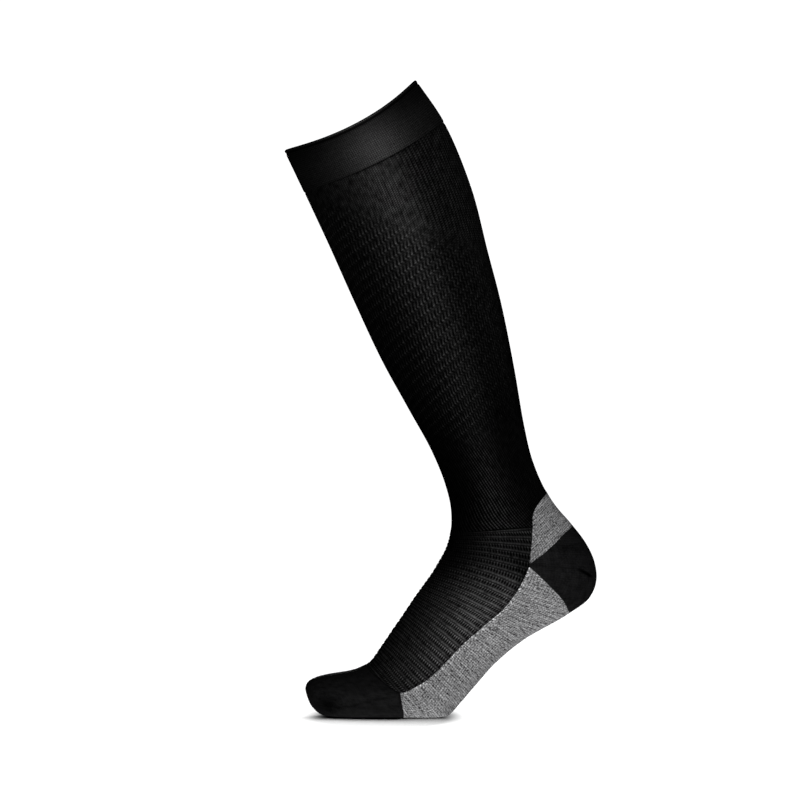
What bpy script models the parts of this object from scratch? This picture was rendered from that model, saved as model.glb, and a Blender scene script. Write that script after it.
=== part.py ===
"""A knee-high, fire-resistant racing sock, in the shape that it takes on a leg with the heel raised.

The sock is one knitted tube with seven zones, and each zone is a closed wall of its own:
    cuff          doubled elastic band round the opening
    leg           ribbed compression tube, from the cuff to the ankle
    instep        ventilated top of the foot
    high_splice   grey reinforcement above the heel
    heel          plain turned heel pocket
    sole          grey cushioned underside
    toe           plain closed toe pocket

Frame: +Z up, the toes point along -X, the wearer's inner side of the foot faces -Y, and the origin
is the middle of the opening. The floor under the forefoot is the plane z = -FLOOR_BELOW.
"""

import bpy
import numpy as np

MM = 0.001

# Driving dimensions, in millimetres.
FLOOR_BELOW = 480.0  # the floor below the middle of the opening
FLOOR_ROUNDING = 1.5  # half the depth over which the knit rounds on to the floor
SEAM_GAP = 0.3  # between two neighbouring zones
TIP_WIDTH = 1.0  # blunt end of a zone that runs to a point

WALL = {  # thickness of each zone's knit
    "cuff": 2.4,
    "leg": 1.5,
    "instep": 1.5,
    "high_splice": 2.0,
    "heel": 2.0,
    "sole": 2.2,
    "toe": 2.0,
}
CUFF_PROUD = 0.35  # the doubled band stands this far out of the leg's face
CUFF_FOLD = 0.8  # height of the rounded fold along the opening

# Cross-sections down the sock. Each is a ring through a point on the front line (shin, instep, top of
# the toes) and one on the back line (calf, heel, sole), both at y = side_shift.
#   front_x, front_z, back_x, back_z   the two points, in mm
#   half_width    half the ring's width in Y, in mm
#   widest        where along front to back it is widest, as a share
#   front_full, back_full   fullness of each half: 2 is an ellipse, more is squarer
#   side_shift    how far the ring's middle lies towards +Y, in mm
#   side_dip      how far the ring's sides hang below its front and back, in mm
COLUMNS = (
    "front_x", "front_z", "back_x", "back_z", "half_width",
    "widest", "front_full", "back_full", "side_shift", "side_dip",
)
SECTIONS = {
    "opening":     (-52.5, -28.5, 52.5, 28.0, 53.0, 0.52, 2.0, 2.1, 0.0, 10.0),
    "cuff_edge":   (-36.5, -62.0, 75.0, -5.5, 55.0, 0.53, 2.0, 2.1, 0.0, 7.5),
    "calf":        (-18.5, -100.0, 96.0, -55.0, 56.5, 0.55, 2.0, 2.1, 0.0, 7.5),
    "below_calf":  (3.0, -148.0, 110.0, -108.0, 53.5, 0.54, 2.0, 2.1, 0.0, 7.0),
    "mid_shin":    (25.5, -196.0, 122.0, -156.0, 47.5, 0.53, 2.0, 2.0, 0.0, 6.0),
    "low_shin":    (47.5, -236.0, 131.5, -204.0, 40.5, 0.52, 2.0, 2.0, 0.0, 4.5),
    "above_ankle": (65.5, -269.0, 139.5, -249.5, 35.0, 0.50, 2.0, 1.9, 0.0, 3.0),
    "narrowest":   (76.0, -295.0, 146.5, -277.5, 32.5, 0.46, 2.0, 1.9, 0.0, 1.0),
    "ankle":       (80.5, -313.5, 155.5, -298.5, 32.5, 0.43, 2.0, 1.9, 0.0, 0.0),
    "ankle_bone":  (81.0, -328.0, 166.0, -314.5, 33.5, 0.41, 2.1, 1.9, 0.0, 0.0),
    "heel_top":    (80.0, -334.5, 176.5, -326.5, 34.0, 0.41, 2.1, 2.0, 0.0, 0.0),
    "heel_upper":  (78.5, -341.0, 188.0, -341.5, 34.0, 0.42, 2.1, 2.2, 0.0, 0.0),
    "heel_back":   (75.5, -349.0, 195.5, -357.5, 33.5, 0.44, 2.1, 2.3, 0.0, 0.0),
    "heel_tip":    (71.0, -357.0, 197.0, -372.0, 33.5, 0.47, 2.1, 2.4, 0.0, 0.0),
    "heel_under":  (66.0, -365.5, 191.5, -386.0, 33.5, 0.50, 2.1, 2.4, 0.0, 0.0),
    "heel_base":   (60.0, -374.0, 174.5, -399.0, 33.5, 0.54, 2.1, 2.5, 0.5, 0.0),
    "arch_back":   (51.0, -386.5, 139.0, -419.5, 34.0, 0.60, 2.0, 2.6, 1.5, 0.0),
    "arch":        (42.0, -400.0, 115.5, -439.0, 36.5, 0.64, 2.0, 2.7, 2.0, 0.0),
    "waist":       (33.0, -413.0, 101.0, -455.0, 40.0, 0.67, 2.0, 2.7, 1.5, 0.0),
    "ball_back":   (24.5, -425.5, 88.5, -469.5, 44.0, 0.68, 2.0, 2.7, 0.5, 0.0),
    "ball":        (16.5, -436.5, 74.5, -482.5, 47.5, 0.66, 2.1, 2.8, 0.0, 0.0),
    "toe_bend":    (8.5, -441.5, 54.5, -484.0, 47.0, 0.62, 2.3, 2.8, -0.5, 0.0),
    "toe_root":    (-1.0, -444.5, 33.5, -484.0, 45.0, 0.58, 2.4, 2.8, -1.5, 0.0),
    "toes":        (-11.0, -446.0, 13.0, -484.0, 41.5, 0.55, 2.5, 2.8, -3.5, 0.0),
    "toe_pads":    (-20.0, -447.5, -5.0, -483.5, 36.5, 0.53, 2.5, 2.7, -6.0, 0.0),
    "toe_ends":    (-27.5, -449.5, -17.5, -481.5, 30.0, 0.51, 2.4, 2.5, -8.5, 0.0),
    "toe_front":   (-33.0, -452.5, -25.5, -477.5, 22.5, 0.50, 2.3, 2.3, -11.0, 0.0),
    "toe_nose":    (-35.3, -457.0, -30.7, -472.0, 14.0, 0.50, 2.1, 2.1, -13.0, 0.0),
    "toe_tip":     (-34.3, -463.8, -34.1, -464.2, 0.6, 0.50, 2.0, 2.0, -14.0, 0.0),
}

# The zones' borders as they show from the side, as (x, z) in mm. The heel's corner is its pointed end.
SPLICE_FRONT = [(142.5, -358.5), (144.0, -348.0), (145.0, -337.5), (145.5, -329.0)]  # against the instep
SPLICE_ABOVE = [  # against the leg, up to the back line
    (145.5, -329.0), (145.5, -321.5), (147.5, -315.0), (152.0, -308.5), (157.5, -301.0),
]
HEEL_TOP = [(142.5, -358.5), (151.0, -352.5), (160.0, -345.0), (168.5, -336.5), (176.5, -327.0)]
HEEL_UNDER = [
    (142.5, -360.5), (153.5, -370.5), (164.0, -381.0), (170.0, -388.0), (173.0, -393.5), (174.5, -399.5),
]
SOLE_TOP = [  # instep against the sole, from the heel's corner to the toe
    (142.5, -360.5), (139.5, -368.0), (134.0, -378.5), (127.0, -388.5), (117.0, -399.0), (104.5, -409.5),
    (89.5, -422.5), (78.0, -434.5), (68.5, -444.0), (60.0, -451.0), (50.5, -456.5), (40.0, -460.0),
]
TOE_TOP = [(14.5, -439.0), (20.0, -446.0), (27.0, -451.5), (34.0, -456.5), (40.0, -460.0)]
TOE_UNDER = [(40.0, -460.0), (41.5, -468.5), (43.0, -477.0), (44.0, -484.5)]

AROUND = 56  # points round a whole ring
ROWS = {"cuff": 5, "leg": 27, "instep": 24, "high_splice": 7, "heel": 10, "sole": 22, "toe": 13}
ACROSS = {"instep": 24, "high_splice": 26, "heel": 26, "sole": 26}

COLOURS = {  # base colour and roughness
    "knit_black": ((0.012, 0.012, 0.013), 0.85),
    "plain_black": ((0.007, 0.007, 0.007), 0.9),
    "melange_grey": ((0.19, 0.19, 0.20), 0.9),
}
FINISH = {
    "cuff": "knit_black", "leg": "knit_black", "instep": "knit_black", "high_splice": "melange_grey",
    "heel": "plain_black", "sole": "melange_grey", "toe": "plain_black",
}

FINE = 361  # samples of the ring tables
STEP_DOWN = 0.6  # step for a tangent down the sock, in mm
STEP_ROUND = 0.006  # step for a tangent round it, as a share of half a ring


# ---------------------------------------------------------------- the worn surface


def section_table():
    """Each section's distance down the sock, the mean of the front and back lines' lengths, and its values."""
    rows = np.array(list(SECTIONS.values()))
    along_front = np.linalg.norm(np.diff(rows[:, 0:2], axis=0), axis=1)
    along_back = np.linalg.norm(np.diff(rows[:, 2:4], axis=0), axis=1)
    return np.concatenate([[0.0], np.cumsum((along_front + along_back) / 2)]), rows


DOWN, VALUES = section_table()
DOWN_OF = dict(zip(SECTIONS, DOWN))


def smooth_curve(at, knots, values):
    """Cubic through the values at the knots; a knot's slope is its two sides' mean, weighted to the nearer."""
    steps = np.diff(knots)
    slopes = np.diff(values, axis=0) / steps[:, None]
    before, after = steps[:-1, None], steps[1:, None]
    inner = (after * slopes[:-1] + before * slopes[1:]) / (before + after)
    tangents = np.vstack([slopes[:1], inner, slopes[-1:]])
    i = np.clip(np.searchsorted(knots, at, side="right") - 1, 0, len(steps) - 1)
    step = steps[i][..., None]
    t = ((np.asarray(at) - knots[i]) / steps[i])[..., None]
    return (
        (2 * t**3 - 3 * t**2 + 1) * values[i]
        + (t**3 - 2 * t**2 + t) * step * tangents[i]
        + (3 * t**2 - 2 * t**3) * values[i + 1]
        + (t**3 - t**2) * step * tangents[i + 1]
    )


def half_ring(section, angle):
    """Shares of the depth and of the half width, on a half ring made of two superellipse quarters."""
    values = dict(zip(COLUMNS, np.moveaxis(section, -1, 0)))
    ahead = angle <= np.pi / 2
    power = 2 / np.where(ahead, values["front_full"][..., None], values["back_full"][..., None])
    along = np.abs(np.cos(angle)) ** power
    widest = values["widest"][..., None]
    share = np.where(ahead, widest * (1 - along), widest + (1 - widest) * along)
    return share, np.sin(angle) ** power


def ring_tables():
    """The half rings of FINE sections down the sock, each with FINE points at equal distances round it."""
    down = np.linspace(DOWN[0], DOWN[-1], FINE)
    section = smooth_curve(down, DOWN, VALUES)
    angle = np.linspace(0, np.pi, 4 * FINE)
    share, wide = half_ring(section, angle)
    depth = np.hypot(section[:, 2] - section[:, 0], section[:, 3] - section[:, 1])[:, None]
    run = np.hypot(np.diff(share, axis=1) * depth, np.diff(wide, axis=1) * section[:, 4:5])
    run = np.concatenate([np.zeros((FINE, 1)), np.cumsum(run, axis=1)], axis=1)
    run /= run[:, -1:]
    even = np.linspace(0, 1, FINE)
    shares = np.array([np.interp(even, run[k], share[k]) for k in range(FINE)])
    widths = np.array([np.interp(even, run[k], wide[k]) for k in range(FINE)])
    return shares, widths


SHARES, WIDTHS = ring_tables()


def between(table, down, half):
    """The table's value at a distance down and a share of the half ring, between its four neighbours."""
    row = np.clip((down - DOWN[0]) / (DOWN[-1] - DOWN[0]), 0, 1) * (FINE - 1)
    column = np.clip(half, 0, 1) * (FINE - 1)
    i, j = np.minimum(row.astype(int), FINE - 2), np.minimum(column.astype(int), FINE - 2)
    s, t = row - i, column - j
    return (
        table[i, j] * (1 - s) * (1 - t) + table[i + 1, j] * s * (1 - t)
        + table[i, j + 1] * (1 - s) * t + table[i + 1, j + 1] * s * t
    )


def worn(down, around):
    """Points of the outer face, in mm. around is 0 on the front line, 1 or -1 behind, positive at +Y."""
    down, around = np.broadcast_arrays(np.asarray(down, float), np.asarray(around, float))
    around = (around + 1) % 2 - 1
    section = dict(zip(COLUMNS, np.moveaxis(smooth_curve(down, DOWN, VALUES), -1, 0)))
    share, wide = between(SHARES, down, np.abs(around)), between(WIDTHS, down, np.abs(around))
    back_x, back_z = section["back_x"] - section["front_x"], section["back_z"] - section["front_z"]
    dip = section["side_dip"] * wide**2 / np.hypot(back_x, back_z)
    x = section["front_x"] + share * back_x + dip * back_z
    z = section["front_z"] + share * back_z - dip * back_x
    y = section["side_shift"] + np.sign(around) * wide * section["half_width"]
    return np.stack([x, y, on_floor(z)], axis=-1)


def on_floor(z):
    """z kept at or above the floor, with a short parabola where the knit rounds on to it."""
    above = z + FLOOR_BELOW
    eased = (above + FLOOR_ROUNDING) ** 2 / (4 * FLOOR_ROUNDING)
    lifted = np.where(above > FLOOR_ROUNDING, above, np.where(above < -FLOOR_ROUNDING, 0.0, eased))
    return lifted - FLOOR_BELOW


def outward(down, around):
    """Unit normals of the outer face: the tangent round the sock crossed with the tangent down it."""
    low, high = np.maximum(down - STEP_DOWN, DOWN[0]), np.minimum(down + STEP_DOWN, DOWN[-1])
    along = worn(high, around) - worn(low, around)
    across = worn(down, around + STEP_ROUND) - worn(down, around - STEP_ROUND)
    normal = np.cross(across, along)
    return normal / np.linalg.norm(normal, axis=-1, keepdims=True)


# ---------------------------------------------------------------- borders between zones


def seen_at(x, z):
    """Distance down and share of the half ring of the point seen at x, z, where the rings don't dip."""
    low, high = DOWN_OF["narrowest"], DOWN[-1]
    for _ in range(60):
        middle = (low + high) / 2
        front_x, front_z, back_x, back_z = smooth_curve(np.array(middle), DOWN, VALUES)[:4]
        turn = (back_x - front_x) * (z - front_z) - (back_z - front_z) * (x - front_x)
        low, high = (low, middle) if turn > 0 else (middle, high)
    depth = np.hypot(back_x - front_x, back_z - front_z)
    share = ((x - front_x) * (back_x - front_x) + (z - front_z) * (back_z - front_z)) / depth**2
    half = np.linspace(0, 1, FINE)
    return middle, float(np.interp(share, between(SHARES, np.full(FINE, middle), half), half))


def through(places, count):
    """count places at equal distances on a smooth curve through the given places."""
    run = np.linalg.norm(np.diff(worn(*places.T), axis=0), axis=1)
    knots = np.concatenate([[0.0], np.cumsum(run)])
    return smooth_curve(np.linspace(0, knots[-1], count), knots, places)


def border(points, start=None, end=None):
    """FINE places (down, half) of a smooth border. start and end put its ends on the front (0) or back (1)."""
    places = np.array([seen_at(x, z) for x, z in points])
    if start is not None:
        places[0, 1] = start
    if end is not None:
        places[-1, 1] = end
    return through(places, FINE)


def joined(*curves):
    """One curve of FINE places at equal distances along the given ones, which follow each other."""
    places = np.vstack(curves)
    run = np.cumsum(np.linalg.norm(np.diff(worn(*places.T), axis=0), axis=1))
    run = np.concatenate([[0.0], run])
    at = np.linspace(0, run[-1], FINE)
    return np.stack([np.interp(at, run, places[:, 0]), np.interp(at, run, places[:, 1])], axis=1)


def mirrored(places, line):
    """The same border on the other side of the front line (0) or the back line (1), from its far end."""
    return np.stack([places[::-1, 0], 2 * line - places[::-1, 1]], axis=1)


def over_the_back(places):
    """A border on the +Y side that ends on the back line, carried on over it to the -Y side."""
    return joined(places, mirrored(places, 1))


def ring_border(places, around):
    """Distance down of a border that goes round a ring, read at each place around it."""
    return np.interp(np.abs(around), places[:, 1], places[:, 0])


def blended(top, bottom, left, right):
    """A grid of places between four borders that share their ends. top and bottom go round the sock."""
    q, p = np.meshgrid(np.linspace(0, 1, FINE), np.linspace(0, 1, FINE), indexing="ij")
    p, q = p[..., None], q[..., None]
    sides = (1 - q) * top[None] + q * bottom[None] + (1 - p) * left[:, None] + p * right[:, None]
    left_ends, right_ends = (1 - q) * top[0] + q * bottom[0], (1 - q) * top[-1] + q * bottom[-1]
    return sides - (1 - p) * left_ends - p * right_ends


def evened(down, around, count, axis, margin):
    """A grid of places read again along one axis: count of them, equally spaced, margin in from each end."""
    down, around = (np.moveaxis(values, axis, 0) for values in (down, around))
    points = worn(down, around)
    run = np.cumsum(np.linalg.norm(np.diff(points, axis=0), axis=-1), axis=0)
    run = np.vstack([np.zeros((1, run.shape[1])), run])
    made = np.empty((2, count, down.shape[1]))
    for k in range(down.shape[1]):
        at = np.linspace(margin, run[-1, k] - margin, count)
        made[0, :, k] = np.interp(at, run[:, k], down[:, k])
        made[1, :, k] = np.interp(at, run[:, k], around[:, k])
    return np.moveaxis(made[0], 0, axis), np.moveaxis(made[1], 0, axis)


# ---------------------------------------------------------------- walls


def material(name):
    """The Principled material of that finish, made once."""
    made = bpy.data.materials.get(name)
    if made is None:
        (red, green, blue), roughness = COLOURS[name]
        made = bpy.data.materials.new(name)
        made.use_nodes = True
        shader = made.node_tree.nodes["Principled BSDF"]
        shader.inputs["Base Color"].default_value = (red, green, blue, 1)
        shader.inputs["Roughness"].default_value = roughness
        shader.inputs["Metallic"].default_value = 0
    return made


def add_object(name, points, faces):
    """A mesh object from points in mm and faces, shaded smooth but for its wall's edges."""
    mesh = bpy.data.meshes.new(name)
    mesh.from_pydata((points * MM).tolist(), [], faces)
    mesh.shade_smooth()
    mesh.set_sharp_from_angle(angle=np.radians(40))
    mesh.materials.append(material(FINISH[name]))
    made = bpy.data.objects.new(name, mesh)
    bpy.context.scene.collection.objects.link(made)
    return made


def quads(first, rows, columns, closed):
    """Faces of a grid whose points start at first, row by row. A closed grid joins its two side columns."""
    faces = []
    for i in range(rows - 1):
        for j in range(columns if closed else columns - 1):
            k = (j + 1) % columns
            a, b = first + i * columns + j, first + i * columns + k
            faces.append((a, b, b + columns, a + columns))
    return faces


def panel(name, down, around):
    """An open panel: its outer grid, the same grid moved in by the wall's thickness, and its four edges."""
    rows, columns = down.shape
    outer, normal = worn(down, around), outward(down, around)
    inner = outer - WALL[name] * normal
    points = np.concatenate([outer.reshape(-1, 3), inner.reshape(-1, 3)])
    size = rows * columns
    faces = quads(0, rows, columns, False)
    faces += [face[::-1] for face in quads(size, rows, columns, False)]
    top, bottom = np.arange(columns), np.arange(columns) + (rows - 1) * columns
    left, right = np.arange(rows) * columns, np.arange(rows) * columns + columns - 1
    for edge in (top, bottom[::-1], left[::-1], right):
        for a, b in zip(edge[:-1].tolist(), edge[1:].tolist()):
            faces.append((b, a, a + size, b + size))
    return add_object(name, points, faces)


def tube(name, loops):
    """A tubular wall: loops of points round the sock, each joined to the next and the last to the first."""
    count, columns = len(loops), loops[0].shape[0]
    points = np.concatenate(loops)
    faces = quads(0, count, columns, True)
    last = (count - 1) * columns
    for j in range(columns):
        k = (j + 1) % columns
        faces.append((last + j, last + k, k, j))
    return add_object(name, points, faces)


def around_whole():
    """Places round a whole ring, from the back line over the -Y side, the front line and the +Y side."""
    return np.linspace(-1, 1, AROUND, endpoint=False)


def trimmed_rows(top, bottom, around, rows, top_margin, bottom_margin):
    """Rows of places spaced evenly between two borders that go round, given as their distances down."""
    share = np.linspace(0, 1, FINE)[:, None]
    down = top + (bottom - top) * share
    round_it = np.broadcast_to(around, down.shape)
    run = np.cumsum(np.linalg.norm(np.diff(worn(down, round_it), axis=0), axis=-1), axis=0)
    run = np.vstack([np.zeros((1, run.shape[1])), run])
    made = np.empty((rows, len(around)))
    for k in range(len(around)):
        at = np.linspace(top_margin, run[-1, k] - bottom_margin, rows)
        made[:, k] = np.interp(at, run[:, k], down[:, k])
    return made, np.broadcast_to(around, made.shape)


# ---------------------------------------------------------------- the seven zones


def make_cuff():
    """The doubled band. Its free edge is a rounded fold, and it stands a little proud of the leg."""
    around = around_whole()
    top, bottom = np.full(AROUND, DOWN[0]), np.full(AROUND, DOWN_OF["cuff_edge"])
    down, round_it = trimmed_rows(top, bottom, around, ROWS["cuff"], CUFF_FOLD, SEAM_GAP / 2)
    middle, normal = worn(down, round_it), outward(down, round_it)
    outer, inner = middle + CUFF_PROUD * normal, middle + (CUFF_PROUD - WALL["cuff"]) * normal
    upward = middle[0] - middle[1]
    upward /= np.linalg.norm(upward, axis=-1, keepdims=True)
    fold = (outer[0] + inner[0]) / 2 + CUFF_FOLD * upward
    return tube("cuff", [fold, *outer, *inner[::-1]])


def make_leg():
    """The compression tube, from the cuff down to the instep in front and to the high splice behind."""
    around = around_whole()
    lower = joined_at_splice()
    top = np.full(AROUND, DOWN_OF["cuff_edge"])
    bottom = ring_border(lower, around)
    down, round_it = trimmed_rows(top, bottom, around, ROWS["leg"], SEAM_GAP / 2, SEAM_GAP / 2)
    outer = worn(down, round_it)
    inner = outer - WALL["leg"] * outward(down, round_it)
    return tube("leg", [*outer, *inner[::-1]])


def joined_at_splice():
    """The leg's lower border on the +Y side: level with the splice's corner in front, above it behind."""
    above = border(SPLICE_ABOVE, end=1)
    return np.vstack([[above[0, 0], 0.0], above])


def make_toe():
    """The closed toe pocket, from its slanted border to a blunt end."""
    around = around_whole()
    places = np.vstack([border(TOE_TOP, start=0), border(TOE_UNDER, end=1)])
    top, bottom = ring_border(places, around), np.full(AROUND, DOWN_OF["toe_nose"])
    down, round_it = trimmed_rows(top, bottom, around, ROWS["toe"], SEAM_GAP / 2, 0)
    outer = worn(down, round_it)
    inner = outer - WALL["toe"] * outward(down, round_it)
    tip = worn(DOWN[-1], 0.5)
    inner_tip = tip + (WALL["toe"], 0, 0)
    count, loops = 2 * len(outer), [*outer, *inner[::-1]]
    points = np.concatenate([*loops, [tip, inner_tip]])
    faces = quads(0, len(outer), AROUND, True)
    faces += quads(len(outer) * AROUND, len(inner), AROUND, True)
    outer_end, inner_end = (len(outer) - 1) * AROUND, len(outer) * AROUND
    inner_top, tip_point = (count - 1) * AROUND, count * AROUND
    for j in range(AROUND):
        k = (j + 1) % AROUND
        faces.append((outer_end + j, outer_end + k, tip_point))
        faces.append((inner_end + k, inner_end + j, tip_point + 1))
        faces.append((inner_top + j, inner_top + k, k, j))
    return add_object("toe", points, faces)


def make_lens(name, upper, lower):
    """A zone between two borders that go over the back and meet on each side, where it ends blunt."""
    share = np.linspace(0, 1, FINE)[:, None, None]
    upper, lower = over_the_back(upper), over_the_back(lower)
    places = upper + (lower - upper) * share
    length = np.linalg.norm(np.diff(worn(places[..., 0], places[..., 1]), axis=0), axis=-1).sum(axis=0)
    wide = np.flatnonzero(length > SEAM_GAP + TIP_WIDTH)
    places = places[:, wide[0] : wide[-1] + 1]
    down, around = evened(places[..., 0], places[..., 1], ACROSS[name], 1, 0)
    down, around = evened(down, around, ROWS[name], 0, SEAM_GAP / 2)
    return panel(name, down, around)


def make_instep():
    """The top of the foot, between the leg, the toe and, on each side, the high splice and the sole."""
    right = joined(border(SPLICE_FRONT)[::-1], border(SOLE_TOP))
    left = right * (1, -1)
    top = joined(left[:1], right[:1])
    toe = border(TOE_TOP, start=0)
    bottom = joined(mirrored(toe, 0), toe)
    places = blended(top, bottom, left, right)
    down, around = evened(places[..., 0], places[..., 1], ACROSS["instep"], 1, SEAM_GAP / 2)
    down, around = evened(down, around, ROWS["instep"], 0, SEAM_GAP / 2)
    return panel("instep", down, around)


def make_sole():
    """The underside, between the heel, the toe and the instep on each side."""
    right = border(SOLE_TOP)
    left = right * (1, -1) + (0, 2)
    heel, toe = over_the_back(border(HEEL_UNDER, end=1)), over_the_back(border(TOE_UNDER, end=1))
    places = blended(heel, toe, right, left)
    down, around = evened(places[..., 0], places[..., 1], ACROSS["sole"], 1, SEAM_GAP / 2)
    down, around = evened(down, around, ROWS["sole"], 0, SEAM_GAP / 2)
    return panel("sole", down, around)


def main():
    for old in list(bpy.data.objects):
        bpy.data.objects.remove(old)
    make_cuff()
    make_leg()
    make_instep()
    splice = joined(border(SPLICE_FRONT), border(SPLICE_ABOVE, end=1))
    make_lens("high_splice", splice, border(HEEL_TOP, end=1))
    make_lens("heel", border(HEEL_TOP, end=1), border(HEEL_UNDER, end=1))
    make_sole()
    make_toe()


main()
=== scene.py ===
"""The looks of a knee-high, fire-resistant racing sock in seven knitted zones, as worn on a raised heel."""

import bmesh
import bpy
import numpy as np
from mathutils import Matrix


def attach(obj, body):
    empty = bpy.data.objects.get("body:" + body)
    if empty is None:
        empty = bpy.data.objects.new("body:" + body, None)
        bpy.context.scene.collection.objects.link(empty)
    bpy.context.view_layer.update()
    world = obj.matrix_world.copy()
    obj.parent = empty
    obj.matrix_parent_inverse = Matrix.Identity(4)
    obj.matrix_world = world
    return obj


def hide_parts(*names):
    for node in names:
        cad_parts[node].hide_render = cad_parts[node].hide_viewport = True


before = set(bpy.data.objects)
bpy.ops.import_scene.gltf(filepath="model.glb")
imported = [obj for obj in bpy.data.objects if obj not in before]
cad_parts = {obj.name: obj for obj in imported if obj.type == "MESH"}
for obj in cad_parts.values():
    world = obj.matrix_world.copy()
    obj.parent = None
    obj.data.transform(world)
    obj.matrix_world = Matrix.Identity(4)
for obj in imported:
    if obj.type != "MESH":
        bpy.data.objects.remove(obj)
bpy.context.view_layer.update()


# ---------------------------------------------------------------- Leg
# The compression tube from the cuff to the ankle, in black flame-resistant yarn: ribs that zigzag over the
# shin, fine plain knit under the cuff, straight ribs behind the calf and slanted lines of stitches at the
# ankle. Its upper end is in the cuff's groove, and the instep and the high splice carry on below it.

MM = 0.001
FLOOR_BELOW = 480.0  # the floor below the middle of the opening, in mm
FLOOR_ROUNDING = 1.5  # half the depth over which the knit rounds on to the floor

# Rings down the sock, in mm: a point on the front line and one on the back line, half the width, the
# widest point's share from front to back, the fullness of the front and back halves (2 is an ellipse),
# the middle's shift to +Y, and how far the sides hang below the front and back.
COLUMNS = (
    "front_x", "front_z", "back_x", "back_z", "half_width", "widest", "front_full", "back_full",
    "side_shift", "side_dip",
)
SECTIONS = {
    "opening":     (-52.5, -28.5, 52.5, 28.0, 53.0, 0.52, 2.0, 2.1, 0.0, 10.0),
    "cuff_edge":   (-36.5, -62.0, 75.0, -5.5, 55.0, 0.53, 2.0, 2.1, 0.0, 7.5),
    "calf":        (-18.5, -100.0, 96.0, -55.0, 56.5, 0.55, 2.0, 2.1, 0.0, 7.5),
    "below_calf":  (3.0, -148.0, 110.0, -108.0, 53.5, 0.54, 2.0, 2.1, 0.0, 7.0),
    "mid_shin":    (25.5, -196.0, 122.0, -156.0, 47.5, 0.53, 2.0, 2.0, 0.0, 6.0),
    "low_shin":    (47.5, -236.0, 131.5, -204.0, 40.5, 0.52, 2.0, 2.0, 0.0, 4.5),
    "above_ankle": (65.5, -269.0, 139.5, -249.5, 35.0, 0.50, 2.0, 1.9, 0.0, 3.0),
    "narrowest":   (76.0, -295.0, 146.5, -277.5, 32.5, 0.46, 2.0, 1.9, 0.0, 1.0),
    "ankle":       (80.5, -313.5, 155.5, -298.5, 32.5, 0.43, 2.0, 1.9, 0.0, 0.0),
    "ankle_bone":  (81.0, -328.0, 166.0, -314.5, 33.5, 0.41, 2.1, 1.9, 0.0, 0.0),
    "heel_top":    (80.0, -334.5, 176.5, -326.5, 34.0, 0.41, 2.1, 2.0, 0.0, 0.0),
    "heel_upper":  (78.5, -341.0, 188.0, -341.5, 34.0, 0.42, 2.1, 2.2, 0.0, 0.0),
    "heel_back":   (75.5, -349.0, 195.5, -357.5, 33.5, 0.44, 2.1, 2.3, 0.0, 0.0),
    "heel_tip":    (71.0, -357.0, 197.0, -372.0, 33.5, 0.47, 2.1, 2.4, 0.0, 0.0),
    "heel_under":  (66.0, -365.5, 191.5, -386.0, 33.5, 0.50, 2.1, 2.4, 0.0, 0.0),
    "heel_base":   (60.0, -374.0, 174.5, -399.0, 33.5, 0.54, 2.1, 2.5, 0.5, 0.0),
    "arch_back":   (51.0, -386.5, 139.0, -419.5, 34.0, 0.60, 2.0, 2.6, 1.5, 0.0),
    "arch":        (42.0, -400.0, 115.5, -439.0, 36.5, 0.64, 2.0, 2.7, 2.0, 0.0),
    "waist":       (33.0, -413.0, 101.0, -455.0, 40.0, 0.67, 2.0, 2.7, 1.5, 0.0),
    "ball_back":   (24.5, -425.5, 88.5, -469.5, 44.0, 0.68, 2.0, 2.7, 0.5, 0.0),
    "ball":        (16.5, -436.5, 74.5, -482.5, 47.5, 0.66, 2.1, 2.8, 0.0, 0.0),
    "toe_bend":    (8.5, -441.5, 54.5, -484.0, 47.0, 0.62, 2.3, 2.8, -0.5, 0.0),
    "toe_root":    (-1.0, -444.5, 33.5, -484.0, 45.0, 0.58, 2.4, 2.8, -1.5, 0.0),
    "toes":        (-11.0, -446.0, 13.0, -484.0, 41.5, 0.55, 2.5, 2.8, -3.5, 0.0),
    "toe_pads":    (-20.0, -447.5, -5.0, -483.5, 36.5, 0.53, 2.5, 2.7, -6.0, 0.0),
    "toe_ends":    (-27.5, -449.5, -17.5, -481.5, 30.0, 0.51, 2.4, 2.5, -8.5, 0.0),
    "toe_front":   (-33.0, -452.5, -25.5, -477.5, 22.5, 0.50, 2.3, 2.3, -11.0, 0.0),
    "toe_nose":    (-35.3, -457.0, -30.7, -472.0, 14.0, 0.50, 2.1, 2.1, -13.0, 0.0),
    "toe_tip":     (-34.3, -463.8, -34.1, -464.2, 0.6, 0.50, 2.0, 2.0, -14.0, 0.0),
}
VALUES = np.array(list(SECTIONS.values()))
ALONG_FRONT = np.linalg.norm(np.diff(VALUES[:, 0:2], axis=0), axis=1)
ALONG_BACK = np.linalg.norm(np.diff(VALUES[:, 2:4], axis=0), axis=1)
DOWN = np.concatenate([[0.0], np.cumsum((ALONG_FRONT + ALONG_BACK) / 2)])  # distance down the sock, in mm
DOWN_OF = dict(zip(SECTIONS, DOWN))
FINE = 361  # samples of a table or a border


def smooth_curve(at, knots, values):
    """Cubic through the values at the knots. A knot's slope is its sides' mean, weighted to the nearer."""
    steps = np.diff(knots)
    slopes = np.diff(values, axis=0) / steps[:, None]
    before, after = steps[:-1, None], steps[1:, None]
    inner = (after * slopes[:-1] + before * slopes[1:]) / (before + after)
    tangents = np.vstack([slopes[:1], inner, slopes[-1:]])
    i = np.clip(np.searchsorted(knots, at, side="right") - 1, 0, len(steps) - 1)
    step = steps[i][..., None]
    t = ((np.asarray(at) - knots[i]) / steps[i])[..., None]
    return (
        (2 * t**3 - 3 * t**2 + 1) * values[i]
        + (t**3 - 2 * t**2 + t) * step * tangents[i]
        + (3 * t**2 - 2 * t**3) * values[i + 1]
        + (t**3 - t**2) * step * tangents[i + 1]
    )


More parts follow.
